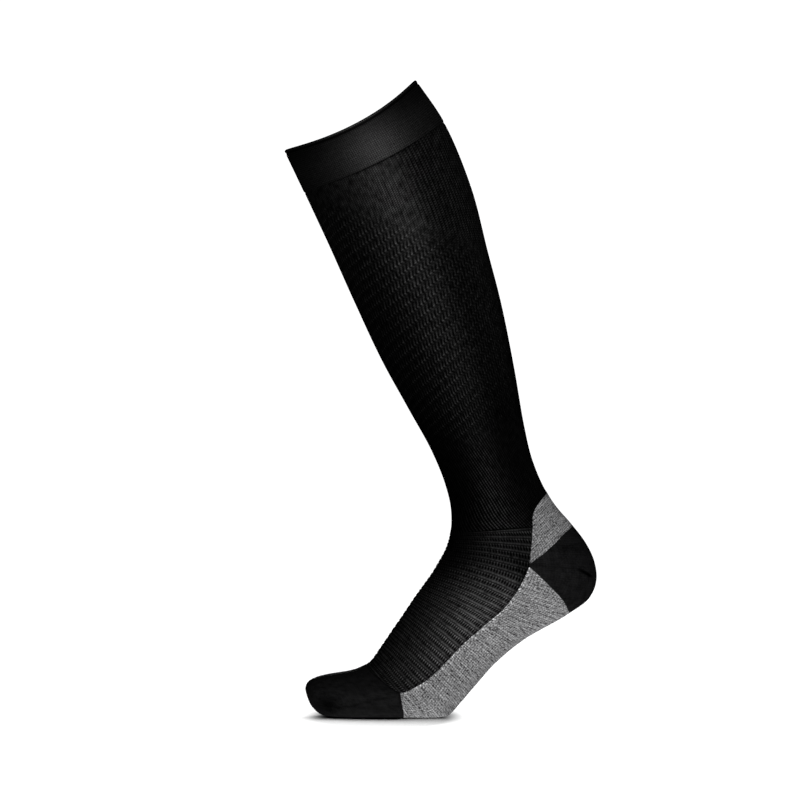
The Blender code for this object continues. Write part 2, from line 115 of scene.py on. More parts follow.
def half_rings():
    """FINE half rings of two superellipse quarters, |cos|^(2/n) by sin^(2/n), each evenly spaced round it."""
    section = smooth_curve(np.linspace(DOWN[0], DOWN[-1], FINE), DOWN, VALUES)
    values = dict(zip(COLUMNS, np.moveaxis(section, -1, 0)[..., None]))
    angle = np.linspace(0, np.pi, 4 * FINE)
    ahead = angle <= np.pi / 2
    power = 2 / np.where(ahead, values["front_full"], values["back_full"])
    along, widest = np.abs(np.cos(angle)) ** power, values["widest"]
    share = np.where(ahead, widest * (1 - along), widest + (1 - widest) * along)
    wide = np.sin(angle) ** power
    depth = np.hypot(values["back_x"] - values["front_x"], values["back_z"] - values["front_z"])
    run = np.hypot(np.diff(share, axis=1) * depth, np.diff(wide, axis=1) * values["half_width"])
    run = np.concatenate([np.zeros((FINE, 1)), np.cumsum(run, axis=1)], axis=1)
    even = np.linspace(0, 1, FINE)
    shares = [np.interp(even, run[k] / run[k, -1], share[k]) for k in range(FINE)]
    widths = [np.interp(even, run[k] / run[k, -1], wide[k]) for k in range(FINE)]
    return np.array(shares), np.array(widths)


SHARES, WIDTHS = half_rings()


def between(table, down, half):
    """The table's value at a distance down and a share of the half ring, between its four neighbours."""
    row = np.clip((down - DOWN[0]) / (DOWN[-1] - DOWN[0]), 0, 1) * (FINE - 1)
    column = np.clip(half, 0, 1) * (FINE - 1)
    i, j = np.minimum(row.astype(int), FINE - 2), np.minimum(column.astype(int), FINE - 2)
    s, t = row - i, column - j
    return (
        table[i, j] * (1 - s) * (1 - t) + table[i + 1, j] * s * (1 - t)
        + table[i, j + 1] * (1 - s) * t + table[i + 1, j + 1] * s * t
    )


def worn(down, around):
    """Points of the sock's face: from the front point F towards the back point B by the ring's share, out to
    the side by its width, and down by the dip. around is 0 in front, 1 or -1 behind, positive at +Y."""
    down, around = np.broadcast_arrays(np.asarray(down, float), np.asarray(around, float))
    around = (around + 1) % 2 - 1
    section = dict(zip(COLUMNS, np.moveaxis(smooth_curve(down, DOWN, VALUES), -1, 0)))
    share, wide = between(SHARES, down, np.abs(around)), between(WIDTHS, down, np.abs(around))
    back_x, back_z = section["back_x"] - section["front_x"], section["back_z"] - section["front_z"]
    dip = section["side_dip"] * wide**2 / np.hypot(back_x, back_z)
    x = section["front_x"] + share * back_x + dip * back_z
    z = section["front_z"] + share * back_z - dip * back_x
    y = section["side_shift"] + np.sign(around) * wide * section["half_width"]
    above = z + FLOOR_BELOW
    eased = (above + FLOOR_ROUNDING) ** 2 / (4 * FLOOR_ROUNDING)
    lifted = np.where(above > FLOOR_ROUNDING, above, np.where(above < -FLOOR_ROUNDING, 0.0, eased))
    return np.stack([x, y, lifted - FLOOR_BELOW], axis=-1)


def outward(down, around):
    """Unit normals of the face: the tangent round the sock crossed with the tangent down it."""
    step_down, step_round = 0.8, 0.006
    low, high = np.maximum(down - step_down, DOWN[0]), np.minimum(down + step_down, DOWN[-1])
    along = worn(high, around) - worn(low, around)
    across = worn(down, around + step_round) - worn(down, around - step_round)
    normal = np.cross(across, along)
    return normal / np.linalg.norm(normal, axis=-1, keepdims=True)


def seen_at(x, z):
    """Distance down and share of the half ring of the point seen at x, z: the ring is found by halving."""
    low, high = DOWN_OF["narrowest"], DOWN[-1]
    for _ in range(60):
        middle = (low + high) / 2
        front_x, front_z, back_x, back_z = smooth_curve(np.array(middle), DOWN, VALUES)[:4]
        turn = (back_x - front_x) * (z - front_z) - (back_z - front_z) * (x - front_x)
        low, high = (low, middle) if turn > 0 else (middle, high)
    depth = np.hypot(back_x - front_x, back_z - front_z)
    share = ((x - front_x) * (back_x - front_x) + (z - front_z) * (back_z - front_z)) / depth**2
    half = np.linspace(0, 1, FINE)
    return middle, float(np.interp(share, between(SHARES, np.full(FINE, middle), half), half))


def border(points, start=None, end=None):
    """FINE places (down, half) of a smooth border. start and end put its ends in front (0) or behind (1)."""
    places = np.array([seen_at(x, z) for x, z in points])
    if start is not None:
        places[0, 1] = start
    if end is not None:
        places[-1, 1] = end
    run = np.linalg.norm(np.diff(worn(*places.T), axis=0), axis=1)
    knots = np.concatenate([[0.0], np.cumsum(run)])
    return smooth_curve(np.linspace(0, knots[-1], FINE), knots, places)


def rise(value, start, end):
    """0 before start, 1 after end, and the smooth step 3t^2 - 2t^3 between them."""
    t = np.clip((value - start) / (end - start), 0, 1)
    return t * t * (3 - 2 * t)


def rounded_ridge(phase, sharpness):
    """A row of ridges, 1 on each whole number of phase and 0 half way: (0.5 + 0.5 cos) ^ sharpness."""
    return (0.5 + 0.5 * np.cos(2 * np.pi * phase)) ** sharpness


def bell(value, middle, width):
    """A soft bump, 1 in the middle: exp of minus the square of the distance over the width."""
    return np.exp(-(((value - middle) / width) ** 2))


def read_table(places, values, at):
    """The values of a table by place, read along a smooth curve and level past its ends."""
    places = np.array(places)
    return smooth_curve(np.clip(at, places[0], places[-1]), places, np.array(values)[:, None])[..., 0]


def bridge(outer, inner, at):
    """Triangles between a fine line of points and a coarse one whose points lie at places of the fine one."""
    k = np.clip(np.searchsorted(at, np.arange(len(outer) - 1), side="right") - 1, 0, len(at) - 2)
    fans = np.stack([outer[1:], outer[:-1], inner[k]], axis=1)
    steps = np.stack([inner[:-1], inner[1:], outer[at[1:]]], axis=1)
    return np.concatenate([fans, steps])


def knit_wall(name, down, around, height, wall, stitches, inner_grid, marks=None, closed=False, tip=False):
    """A closed wall: the worn face moved out by height, and a coarser copy of it moved in by the wall's
    thickness, bridged along their edges. down and around give the grid's places, stitches the same places
    counted in wales and courses, kept as the UV map, and marks further values of each place, kept as
    attributes. tip leaves the last rows to close on a point."""
    base, normal = worn(down, around), outward(down, around)
    face = base + height[..., None] * normal
    sizes = zip(down.shape, inner_grid)
    rows, columns = (np.linspace(0, size - 1, count).round().astype(int) for size, count in sizes)
    back = (base - wall * normal)[np.ix_(rows, columns)]
    if tip:
        face[-1], back[-1] = face[-1].mean(axis=0), back[-1].mean(axis=0) + (wall, 0, 0)
    place = np.stack(stitches, axis=-1)
    points = np.concatenate([face.reshape(-1, 3), back.reshape(-1, 3)]) * MM
    places = np.concatenate([place.reshape(-1, 2), place[np.ix_(rows, columns)].reshape(-1, 2)])

    out = np.arange(down.size).reshape(down.shape)
    into = down.size + np.arange(len(rows) * len(columns)).reshape(len(rows), len(columns))
    quads = np.concatenate([
        np.stack([out[:-1, :-1], out[:-1, 1:], out[1:, 1:], out[1:, :-1]], axis=-1).reshape(-1, 4),
        np.stack([into[:-1, :-1], into[1:, :-1], into[1:, 1:], into[:-1, 1:]], axis=-1).reshape(-1, 4),
    ])
    rims = [bridge(out[0], into[0], columns)]
    if not tip:
        rims.append(bridge(out[-1], into[-1], columns)[:, ::-1])
    if not closed:
        rims += [bridge(out[:, 0], into[:, 0], rows)[:, ::-1], bridge(out[:, -1], into[:, -1], rows)]

    mesh = bpy.data.meshes.new(name)
    mesh.from_pydata(points.tolist(), [], quads.tolist() + np.concatenate(rims).tolist())
    corners = np.empty(len(mesh.loops), int)
    mesh.loops.foreach_get("vertex_index", corners)
    mesh.uv_layers.new(name="knit").data.foreach_set("uv", places[corners].ravel())
    for label, values in (marks or {}).items():
        values = (values + 0 * down).ravel()
        whole = np.concatenate([values, np.full(len(rows) * len(columns), values.mean())])
        mesh.attributes.new(label, "FLOAT", "POINT").data.foreach_set("value", whole)
    if closed:
        sewn = bmesh.new()
        sewn.from_mesh(mesh)
        bmesh.ops.remove_doubles(sewn, verts=sewn.verts, dist=1e-7)
        sewn.to_mesh(mesh)
        sewn.free()
    mesh.shade_smooth()
    piece = bpy.data.objects.new(name, mesh)
    bpy.context.scene.collection.objects.link(piece)
    return piece


def dressed(piece, node):
    """Puts the finished piece in its node's place, on the only body."""
    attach(piece, "root")
    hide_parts(node)


def add(tree, kind, inputs=(), output=0, **settings):
    """Adds a shader node, sets or links its inputs, and returns one of its outputs."""
    made = tree.nodes.new(kind)
    for key, value in settings.items():
        setattr(made, key, value)
    for key, value in dict(inputs).items():
        if isinstance(value, bpy.types.NodeSocket):
            tree.links.new(value, made.inputs[key])
        else:
            made.inputs[key].default_value = value
    return made.outputs[output]


def calc(tree, operation, *values):
    """One Math node on values or sockets."""
    return add(tree, "ShaderNodeMath", dict(enumerate(values)), operation=operation)


def ramp(tree, value, start, end, low=0.0, high=1.0, kind="LINEAR"):
    """low up to start, high from end on, and an even or a smooth change between them."""
    limits = {"Value": value, "From Min": start, "From Max": end, "To Min": low, "To Max": high}
    return add(tree, "ShaderNodeMapRange", limits, interpolation_type=kind)


def drawn_out(tree, place, by):
    """A place with each of its counts times a number."""
    return add(tree, "ShaderNodeVectorMath", {0: place, 1: by}, operation="MULTIPLY")


def noise(tree, place, by, detail):
    """Soft noise, mostly between 0 and 1, with that many cells to each count of the place."""
    cells = drawn_out(tree, place, by)
    return add(tree, "ShaderNodeTexNoise", {"Vector": cells, "Scale": 1.0, "Detail": detail})


def new_group(name, inputs, outputs):
    """An empty shader group with float inputs (name: default) and outputs, as (tree, group input node)."""
    tree = bpy.data.node_groups.new(name, "ShaderNodeTree")
    for label, default in inputs.items():
        kind = "NodeSocketVector" if label == "Place" else "NodeSocketFloat"
        socket = tree.interface.new_socket(name=label, in_out="INPUT", socket_type=kind)
        if default is not None:
            socket.default_value = default
    for label in outputs:
        tree.interface.new_socket(name=label, in_out="OUTPUT", socket_type="NodeSocketFloat")
    return tree, tree.nodes.new("NodeGroupInput")


def close_group(tree, **outputs):
    """Links the group's results to its output node."""
    made = tree.nodes.new("NodeGroupOutput")
    for label, socket in outputs.items():
        tree.links.new(socket, made.inputs[label])


def split(tree, place):
    """The wale count and the course count of a place, as two sockets."""
    parts = tree.nodes.new("ShaderNodeSeparateXYZ")
    tree.links.new(place, parts.inputs[0])
    return parts.outputs[0], parts.outputs[1]


def hump(tree, count, middle, narrowness):
    """A row of humps, 1 where count is middle plus a whole number: (0.5 + 0.5 cos) ^ narrowness."""
    turned = calc(tree, "MULTIPLY_ADD", count, 2 * np.pi, -2 * np.pi * middle)
    return calc(tree, "POWER", calc(tree, "MULTIPLY_ADD", calc(tree, "COSINE", turned), 0.5, 0.5), narrowness)


def plain_group():
    """Plain knit: each wale is a column of V shaped stitches. Shade is a wave along the courses, bent by the
    distance from the wale's middle, and dips between wales: painted highlight on the loops and painted shade
    between the wales."""
    tree, given = new_group("plain_stitches", {"Place": None, "Groove": 1.0}, ["Shade"])
    wale, course = split(tree, given.outputs["Place"])
    offset = calc(tree, "SUBTRACT", calc(tree, "FRACT", wale), 0.5)
    side = calc(tree, "MULTIPLY", calc(tree, "ABSOLUTE", offset), 2.0)
    bent = calc(tree, "MULTIPLY_ADD", side, 0.5, course)
    loop = calc(tree, "MULTIPLY_ADD", hump(tree, bent, 0.0, 1.0), 0.7, 0.3)
    dip = calc(tree, "MULTIPLY", calc(tree, "POWER", side, 3.0), given.outputs["Groove"])
    close_group(tree, Shade=calc(tree, "MAXIMUM", calc(tree, "SUBTRACT", loop, dip), 0.0))
    return tree


def mixed_group():
    """Mixed yarn: noise drawn out along the courses, for streaks, fine noise, for flecks, and slow noise, for
    blotches, each times its own strength."""
    inputs = {"Place": None, "Streaks": 0.3, "Flecks": 0.3, "Blotches": 0.0}
    tree, given = new_group("mixed_yarn", inputs, ["Shade"])

    def uneven(cells, detail):
        return calc(tree, "MULTIPLY_ADD", noise(tree, given.outputs["Place"], cells, detail), 2.0, -1.0)

    streaks = calc(tree, "MULTIPLY", uneven((0.12, 0.9, 1.0), 3.0), given.outputs["Streaks"])
    flecks = calc(tree, "MULTIPLY", uneven((1.1, 1.3, 1.0), 1.0), given.outputs["Flecks"])
    blotches = calc(tree, "MULTIPLY", uneven((0.4, 0.25, 1.0), 2.0), given.outputs["Blotches"])
    shade = calc(tree, "ADD", calc(tree, "ADD", calc(tree, "ADD", streaks, flecks), blotches), 1.0)
    close_group(tree, Shade=calc(tree, "MAXIMUM", shade, 0.05))
    return tree


PLAIN, MIXED = plain_group(), mixed_group()


def use_group(tree, group, place, **values):
    """Places a shader group with its own values and returns the node."""
    used = tree.nodes.new("ShaderNodeGroup")
    used.node_tree = group
    tree.links.new(place, used.inputs["Place"])
    for label, value in values.items():
        if isinstance(value, bpy.types.NodeSocket):
            tree.links.new(value, used.inputs[label])
        else:
            used.inputs[label].default_value = value
    return used


def yarn_material(name, colour, streaks, flecks, blotches, shade_of, gloss, depth=0.08):
    """Matte yarn: the colour times the mixed yarn's shade and the knit's shade, which shade_of builds from
    the place in wales and courses and which paints highlight on the loops that stand out and shade between
    them, with more painted light and shade from the marks. The yarn's soft gloss is a coat of gloss times
    both shades, so only the loops that stand out have it. depth is the bump's height in mm."""
    made = bpy.data.materials.new(name)
    made.use_nodes = True
    tree = made.node_tree
    shader = tree.nodes["Principled BSDF"]
    shader.inputs["Specular IOR Level"].default_value = 0.0
    shader.inputs["Coat Roughness"].default_value = 0.62
    place = add(tree, "ShaderNodeUVMap", uv_map="knit")
    mixed = use_group(tree, MIXED, place, Streaks=streaks, Flecks=flecks, Blotches=blotches).outputs["Shade"]
    knit = shade_of(tree, place)
    shade = calc(tree, "MULTIPLY", knit, mixed)
    yarn = add(tree, "ShaderNodeVectorMath", {0: colour, "Scale": shade}, operation="SCALE")
    tree.links.new(yarn, shader.inputs["Base Color"])
    smoother = ramp(tree, knit, 0.0, 2.0, 1.0, 0.8)
    tree.links.new(smoother, shader.inputs["Roughness"])
    tree.links.new(calc(tree, "MULTIPLY", shade, gloss), shader.inputs["Coat Weight"])
    bump = add(tree, "ShaderNodeBump", {"Height": knit, "Distance": depth * MM})
    tree.links.new(bump, shader.inputs["Normal"])
    return made


def mark(tree, label):
    """The value of an attribute of the knit's places."""
    return add(tree, "ShaderNodeAttribute", output=2, attribute_name=label)


RIBS = 112  # ribs all round
RIB_POINTS = 3  # grid columns to a rib
RIB_RISE = 0.2  # height of a rib over and under the mean face, in mm
RIB_LOOSE = 0.8  # how far the knit's looseness shifts a zigzag rib's shade, in ribs, at most
PLAIN_LOOSE = 0.2  # likewise in the plain knit
LINES = (1.16, -0.52)  # how many of the ankle's slanted lines there are to a rib and to a wave
WAVE_LENGTH = 7.65  # of the zigzag down the leg, in mm
WAVES_ROUND = 16  # waves that the zigzag gains in one turn, so its rows climb towards the back
WAVE_SWING = 0.22  # how far a rib swings from its middle, in ribs
LEG_ROW = 1.17  # height of a grid row, in mm
ANKLE_SLANT = 0.17  # how far the ribs lean back towards the heel at the ankle, as a share of half a ring
LEG_WALL = 1.5  # of the leg and the instep, in mm
GROOVE_SINK = 0.35  # how far the leg's upper end sinks into the cuff's groove, in mm
WAVES_LATE = 130.0  # how much further down the zigzag starts for each half ring past the first fifth, in mm
WAVES_FADE = 32.0  # over which the zigzag sets in, and over which it ends, in mm
SPLICE_ABOVE = [  # the leg's border against the high splice, up to the back line, as seen from the side
    (145.5, -329.0), (145.5, -321.5), (147.5, -315.0), (152.0, -308.5), (157.5, -301.0),
]


def zigzag_group():
    """Ribs that step sideways once a wave. A rib's bright stroke ends in a brighter knee, and fades where it
    crosses to its neighbour: the ridge follows count = step(wave), with step rising by one rib a wave, and
    slow noise shifts it a little. Where Wavy is 0 the knit is plain, with a wale to a rib, or with finer
    stitches where Fine is 1, or with lines of stitches that slant over the ribs where Slanted is 1. Between
    is the painted shade between the ribs. The bright strokes, knees, stitches and lines are painted highlight
    on the raised yarn."""
    inputs = {"Place": None, "Wavy": 1.0, "Fine": 0.0, "Slanted": 0.0, "Between": 0.3}
    tree, given = new_group("zigzag_ribs", inputs, ["Shade"])
    loose = noise(tree, given.outputs["Place"], (0.9, 3.5, 1.0), 1.0)
    rib, wave = split(tree, given.outputs["Place"])

    def shifted_rib(most):
        return calc(tree, "ADD", rib, calc(tree, "MULTIPLY_ADD", loose, most, -most / 2))

    part = calc(tree, "FRACT", wave)
    crossing = ramp(tree, part, 0.02, 0.46, 0.0, 1.19, "SMOOTHSTEP")
    drift = ramp(tree, part, 0.46, 0.95, 0.0, -0.2)
    followed = calc(tree, "SUBTRACT", calc(tree, "SUBTRACT", shifted_rib(RIB_LOOSE), crossing), drift)
    ridge = hump(tree, followed, 0.0, 1.6)
    # painted highlight on the stroke, brightest at the knee
    top = calc(tree, "MULTIPLY_ADD", hump(tree, wave, 0.0, 10.0), 1.8, 1.7)
    stroke = calc(tree, "MULTIPLY", ridge, top)
    fading = hump(tree, wave, 0.27, 9.0)
    fade = calc(tree, "MULTIPLY", calc(tree, "SUBTRACT", 0.6, stroke), fading)
    courses = calc(tree, "MULTIPLY_ADD", hump(tree, calc(tree, "MULTIPLY", wave, 5.0), 0.0, 1.0), 0.6, 0.7)
    zigzag = calc(tree, "MULTIPLY", calc(tree, "ADD", stroke, fade), courses)

    steady_rib = shifted_rib(PLAIN_LOOSE)
    steady_place = add(tree, "ShaderNodeCombineXYZ", {"X": steady_rib, "Y": wave})

    def stitches(wales_to_a_rib, courses_to_a_wave):
        place = drawn_out(tree, steady_place, (wales_to_a_rib, courses_to_a_wave, 1.0))
        loops = use_group(tree, PLAIN, place, Groove=0.8).outputs["Shade"]
        return calc(tree, "MULTIPLY", calc(tree, "POWER", loops, 2.0), 3.2)

    def mixed(first, second, share):
        change = calc(tree, "MULTIPLY", calc(tree, "SUBTRACT", second, first), given.outputs[share])
        return calc(tree, "ADD", first, change)

    plain = mixed(stitches(1.0, 4.0), stitches(1.75, 5.0), "Fine")
    by_rib, by_wave = LINES
    line = calc(tree, "MULTIPLY_ADD", wave, by_wave, calc(tree, "MULTIPLY", steady_rib, by_rib))
    beads = calc(tree, "MULTIPLY_ADD", hump(tree, calc(tree, "MULTIPLY", wave, 3.5), 0.0, 1.0), 0.9, 0.55)
    lines = calc(tree, "MULTIPLY", calc(tree, "MULTIPLY", hump(tree, line, 0.0, 2.5), beads), 3.0)
    shade = mixed(mixed(plain, lines, "Slanted"), zigzag, "Wavy")
    close_group(tree, Shade=calc(tree, "ADD", shade, given.outputs["Between"]))
    return tree


ZIGZAG = zigzag_group()


def leg_shade(tree, place):
    """Zigzag ribs and plain knit, lighter and shallower where the leg is thick and the knit is drawn open,
    and with the painted light that falls off from the calf towards the ankle.
    """
    open_and_lit = mark(tree, "stretch_and_light")
    gaps = calc(tree, "MULTIPLY", open_and_lit, 0.35)
    kinds = {"Wavy": mark(tree, "wavy"), "Fine": mark(tree, "fine"), "Slanted": mark(tree, "slanted")}
    ribs = use_group(tree, ZIGZAG, place, Between=gaps, **kinds)
    return calc(tree, "MULTIPLY", ribs.outputs["Shade"], open_and_lit)


# How light the knit looks down the sock: partly its stretch, as it is drawn open over the calf and the arch
# and close round the ankle, and partly painted light, bright on the calf and the foot and falling off
# towards the ankle.
STRETCH_AND_LIGHT = {
    "cuff_edge": 0.95, "calf": 0.95, "below_calf": 0.75, "mid_shin": 0.58, "low_shin": 0.45,
    "above_ankle": 0.29, "ankle": 0.28, "heel_upper": 0.36, "heel_tip": 0.55, "heel_under": 0.9,
    "heel_base": 1.2, "arch": 1.3, "ball": 1.1,
}


def stretch_and_light(down):
    """The table's value at a distance down the sock."""
    return read_table([DOWN_OF[name] for name in STRETCH_AND_LIGHT], list(STRETCH_AND_LIGHT.values()), down)


leg_start, waves_end = DOWN_OF["cuff_edge"], DOWN_OF["above_ankle"] + 12
above_splice = border(SPLICE_ABOVE, end=1)
leg_end = above_splice[0, 0]
even_rows = np.arange(leg_start, waves_end, LEG_ROW)
rib = np.linspace(-RIBS / 2, RIBS / 2, RIBS * RIB_POINTS + 1)[None]
behind = 2 * np.abs(rib) / RIBS  # 0 in front, 1 at the back
lower_share = np.linspace(0, 1, 37)[1:, None]
lower_end = np.interp(behind, [0.0, *above_splice[:, 1]], [leg_end, *above_splice[:, 0]])
down = np.vstack([
    np.repeat(even_rows[:, None], rib.size, axis=1),
    even_rows[-1] + (lower_end - even_rows[-1]) * lower_share,
])

# The zigzag starts just below the cuff in front and further down towards the back, and ends above the ankle.
late = WAVES_LATE * np.maximum(behind - 0.2, 0)
wavy = rise(down - late, leg_start + 2, leg_start + 2 + WAVES_FADE)
wavy = wavy * (1 - rise(down, waves_end - WAVES_FADE, waves_end))
wave = (down - leg_start) / WAVE_LENGTH - WAVES_ROUND * rib / RIBS
part = wave % 1
swing = np.where(part < 0.4, -1 + 2 * rise(part, 0.02, 0.4), 1 - 2 * (part - 0.4) / 0.6)
count = rib - WAVE_SWING * wavy * swing
lean = ANKLE_SLANT * np.sin(2 * np.pi * rib / RIBS) * rise(down, DOWN_OF["mid_shin"] + 15, leg_end + 20)
height = RIB_RISE * (2 * rounded_ridge(rib, 1.0) - 1) * rise(down, leg_start + 1, leg_start + 6)
height = height * wavy - GROOVE_SINK * bell(down, leg_start, 1.5)

# Painted shade behind the calf, and painted light beside it, further back.
painted_shade_behind = 0.45 * (1 - rise(down, DOWN_OF["calf"], DOWN_OF["low_shin"])) * bell(behind, 0.61, 0.1)
painted_light_behind = (0.1 + 0.7 * rise(down, DOWN_OF["calf"], DOWN_OF["mid_shin"])) * bell(behind, 0.82, 0.1)
leg_marks = {
    "wavy": wavy,
    "fine": 1 - rise(behind, 0.46, 0.66),
    "slanted": rise(down, DOWN_OF["mid_shin"] - 5, DOWN_OF["mid_shin"] + 5),
    "stretch_and_light": stretch_and_light(down) * (1 - painted_shade_behind + painted_light_behind),
}
leg = knit_wall(
    "leg_knit", down, 2 * count / RIBS + lean, height, LEG_WALL, (-count, wave), (24, RIBS + 1),
    marks=leg_marks, closed=True,
)
leg_yarn = yarn_material(
    "leg_yarn", (0.0004, 0.0004, 0.0004), streaks=0.15, flecks=1.3, blotches=0.1, shade_of=leg_shade,
    gloss=0.22,
)
leg.data.materials.append(leg_yarn)
dressed(leg, "leg")


# ---------------------------------------------------------------- Cuff
# The doubled elastic band round the opening, in a fine plain knit. Its free edge is a rolled fold with a
# fine groove below it, and its lower edge rounds over into the groove where the leg starts.

CUFF_WALL = 2.4  # both layers, in mm
CUFF_PROUD = 0.15  # how far the band stands out of the leg's face
BEAD_RADIUS = 1.15  # of the rolled fold
CUFF_GROOVE = 0.45  # depth of the groove below the fold
CUFF_ROUNDING = 0.7  # how far the lower edge rounds over
CUFF_WALES = 216
CUFF_COURSE = 1.6  # height of a course, in mm

turn = np.linspace(np.pi, 0, 9)[:-1]
fold_down = BEAD_RADIUS * (1 - np.sin(turn))
fold_height = CUFF_PROUD + BEAD_RADIUS * (np.cos(turn) - 1)
band = np.linspace(BEAD_RADIUS, DOWN_OF["cuff_edge"] + 0.6, 74)
rounding = CUFF_ROUNDING * rise(band, band[-1] - 2.2, band[-1]) ** 2
band_height = CUFF_PROUD - CUFF_GROOVE * bell(band, 3.2, 0.9) - rounding
around = np.linspace(-1, 1, 2 * CUFF_WALES + 1)[None]
down = np.concatenate([fold_down, band])[:, None] + 0 * around
wales = around * CUFF_WALES / 2
fine_knit = rise(down, 4.0, 6.0) * 0.07 * np.cos(2 * np.pi * wales)
height = np.concatenate([fold_height, band_height])[:, None] + fine_knit


def fine_shade(tree, place):
    """Fine plain knit, with painted highlight on its loops, times lit_band: painted light on the fold,
    painted shade in the groove below it and a little painted shade towards the rolled edge.
    """
    loops = use_group(tree, PLAIN, place, Groove=0.8).outputs["Shade"]
    return calc(tree, "MULTIPLY", calc(tree, "MULTIPLY_ADD", loops, 2.2, 0.25), mark(tree, "lit_band"))


painted_rim = 0.5 * bell(down, 1.3, 0.6) - 0.4 * bell(down, 3.0, 0.9)  # painted highlight on the fold, painted shade in the groove
cuff = knit_wall(
    "cuff_knit", down, around, height, CUFF_WALL - CUFF_PROUD, (wales + 0 * down, down / CUFF_COURSE),
    (12, 73), marks={"lit_band": 0.45 + 0.55 * rise(down, 2.0, 26.0) + painted_rim}, closed=True,
)
cuff_yarn = yarn_material(
    "cuff_yarn", (0.0005, 0.0005, 0.0005), streaks=0.3, flecks=0.9, blotches=0.2, shade_of=fine_shade,
    gloss=0.29,
)
cuff.data.materials.append(cuff_yarn)
dressed(cuff, "cuff")


# ---------------------------------------------------------------- Instep
# The ventilated top of the foot, in black. Rows of small holes run across it between raised rows, from
# the ankle to the toe, and along each side it carries on into the grey sole and high splice.

SPLICE_FRONT = [(142.5, -358.5), (144.0, -348.0), (145.0, -337.5), (145.5, -329.0)]
SOLE_TOP = [
    (142.5, -360.5), (139.5, -368.0), (134.0, -378.5), (127.0, -388.5), (117.0, -399.0), (104.5, -409.5),
    (89.5, -422.5), (78.0, -434.5), (68.5, -444.0), (60.0, -451.0), (50.5, -456.5), (40.0, -460.0),
]
TOE_TOP = [(14.5, -439.0), (20.0, -446.0), (27.0, -451.5), (34.0, -456.5), (40.0, -460.0)]
HEEL_CORNER = [(141.0, -357.0, 0.6), (143.0, -360.0, 0.6)]  # painted shade in front of the heel's point


def joined(*curves):
    """One curve of FINE places at equal distances along the given ones, which follow each other."""
    places = np.vstack(curves)
    run = np.cumsum(np.linalg.norm(np.diff(worn(*places.T), axis=0), axis=1))
    run = np.concatenate([[0.0], run])
    at = np.linspace(0, run[-1], FINE)
    return np.stack([np.interp(at, run, places[:, 0]), np.interp(at, run, places[:, 1])], axis=1)


def mirrored(places, line):
    """The same border on the other side of the front line (0) or the back line (1), from its far end."""
    return np.stack([places[::-1, 0], 2 * line - places[::-1, 1]], axis=1)


def blended(top, bottom, left, right):
    """A grid of places between four borders that share their ends, as the sum of the two linear blends less
    the blend of the corners. top and bottom go round the sock."""
    q, p = np.meshgrid(np.linspace(0, 1, FINE), np.linspace(0, 1, FINE), indexing="ij")
    p, q = p[..., None], q[..., None]
    sides = (1 - q) * top[None] + q * bottom[None] + (1 - p) * left[:, None] + p * right[:, None]
    left_ends, right_ends = (1 - q) * top[0] + q * bottom[0], (1 - q) * top[-1] + q * bottom[-1]
    return sides - (1 - p) * left_ends - p * right_ends


def evened(down, around, count, axis):
    """A grid of places read again along one axis, as count of them at equal distances on the worn face."""
    down, around = (np.moveaxis(values, axis, 0) for values in (down, around))
    run = np.cumsum(np.linalg.norm(np.diff(worn(down, around), axis=0), axis=-1), axis=0)
    run = np.vstack([np.zeros((1, run.shape[1])), run])
    made = np.empty((2, count, down.shape[1]))
    for k in range(down.shape[1]):
        at = np.linspace(0, run[-1, k], count)
        made[0, :, k] = np.interp(at, run[:, k], down[:, k])
        made[1, :, k] = np.interp(at, run[:, k], around[:, k])
    return np.moveaxis(made[0], 0, axis), np.moveaxis(made[1], 0, axis)


FOOT_WALES = 130
# By the distance below the leg, in mm: from one row of holes to the next, and how far a course hangs down
# under the foot.
MESH_ROW = {0: 5.2, 30: 5.0, 65: 6.6, 100: 7.0, 150: 5.7}
SAG = {0: 0.0, 30: 13.0, 65: 27.0, 100: 21.0, 150: 13.0}
FIRST_ROW = 0.3  # the rows start just before a raised line
HOLES_AT, RAISED_AT, FINE_HOLES_AT, DOTTED_AT = 0.02, 0.42, 0.61, 0.81  # the lines of a row, by its height
HOLE_DEPTH = 0.5
ROW_RISE = 0.25


def below_leg(table, down):
    """A table's value at a distance down the sock."""
    return read_table([leg_end + below for below in table], list(table.values()), down)


def course_down(down, around):
    """Where the course through a place meets the front line: down less a sag, which grows with (1 - cos) of
    the way round."""
    return down - below_leg(SAG, down) * (1 - np.cos(np.pi * around)) / 2


def mesh_row(course):
    """Rows of holes above a course: 1 over the height of a row, summed up."""
    at = np.linspace(leg_end, DOWN[-1], 400)
    per_mm = 1 / below_leg(MESH_ROW, at)
    rows = np.cumsum((per_mm[1:] + per_mm[:-1]) / 2 * np.diff(at))
    return FIRST_ROW + np.interp(course, at, np.concatenate([[0.0], rows]))


